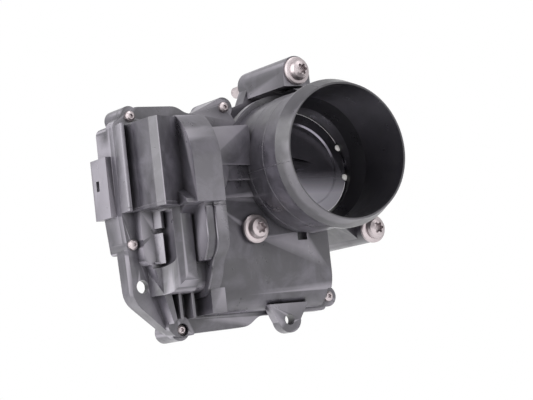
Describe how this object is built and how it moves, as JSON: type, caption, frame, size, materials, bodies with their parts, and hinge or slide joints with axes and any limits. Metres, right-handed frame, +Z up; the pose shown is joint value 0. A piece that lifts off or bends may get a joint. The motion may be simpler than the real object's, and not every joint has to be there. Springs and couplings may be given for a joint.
{
  "type": "throttle body",
  "caption": "Electronic throttle body: plastic housing with inlet spigot, butterfly plate on a sprung cross shaft, gear drive, motor, rear cover with plug socket and mounting bolts.",
  "frame": {"origin": "centre of the air bore on the mounting face that meets the manifold", "axes": "+Z up, bore along Y with the inlet mouth toward -Y, +X right seen from the mouth, so the gear case is toward -X"},
  "size_m": [0.147, 0.1, 0.1382],
  "materials": {
    "glass_filled_nylon": "semi-gloss black, moulded, glass filled",
    "plate_plastic": "matt black, moulded",
    "gear_acetal": "natural white, satin",
    "zinc_steel": "zinc plated, satin",
    "ground_steel": "ground",
    "spring_steel": "oil dark",
    "motor_steel": "zinc plated, deep drawn",
    "ferrite": "dark grey, sintered",
    "copper_winding": "enamelled copper on steel laminations",
    "brass": "turned",
    "carbon": "matt",
    "seal_rubber": "matt black",
    "circuit_board": "green solder mask"
  },
  "bodies": {
    "housing": {"main_housing": "glass_filled_nylon", "rear_cover": "glass_filled_nylon", "cover_seal": "seal_rubber", "flange_seal": "seal_rubber", "left_bearing": "ground_steel", "right_bearing": "ground_steel", "shaft_seals": "seal_rubber", "shaft_plug": "zinc_steel", "sensor_board": "circuit_board", "return_spring": "spring_steel", "spring_collar": "gear_acetal", "gear_pin": "ground_steel", "motor_can": "motor_steel", "motor_end_cap": "plate_plastic", "motor_magnets": "ferrite", "motor_brushes": "carbon", "motor_spring_washer": "spring_steel", "motor_leads": "brass", "connector_pins": "brass", "flange_bolts": "zinc_steel", "bolt_sleeves": "zinc_steel", "cover_screws": "zinc_steel"},
    "throttle": {"throttle_shaft": "ground_steel", "throttle_plate": "plate_plastic", "plate_screws": "zinc_steel", "sector_gear": "gear_acetal", "sensor_magnet": "ferrite"},
    "middle": {"middle_gear": "gear_acetal"},
    "armature": {"motor_armature": "copper_winding", "motor_pinion": "brass"}
  },
  "joints": [
    {"name": "throttle_turn", "type": "hinge", "parent": "housing", "child": "throttle", "pos_m": [0, -0.036, 0], "axis": [-1, 0, 0], "range_deg": [-11, 77], "stiffness_Nm_per_rad": 0.2},
    {"name": "middle_spin", "type": "hinge", "parent": "housing", "child": "middle", "pos_m": [0, -0.03359, -0.0299], "axis": [-1, 0, 0], "range_deg": [-230, 45]},
    {"name": "motor_spin", "type": "hinge", "parent": "housing", "child": "armature", "pos_m": [0, -0.024, -0.0545], "axis": [-1, 0, 0], "range_deg": [-160, 1000]}
  ],
  "couplings": [
    {"joint": "middle_spin", "follows": "throttle_turn", "ratio": -2.75},
    {"joint": "motor_spin", "follows": "throttle_turn", "ratio": 12.375}
  ]
}
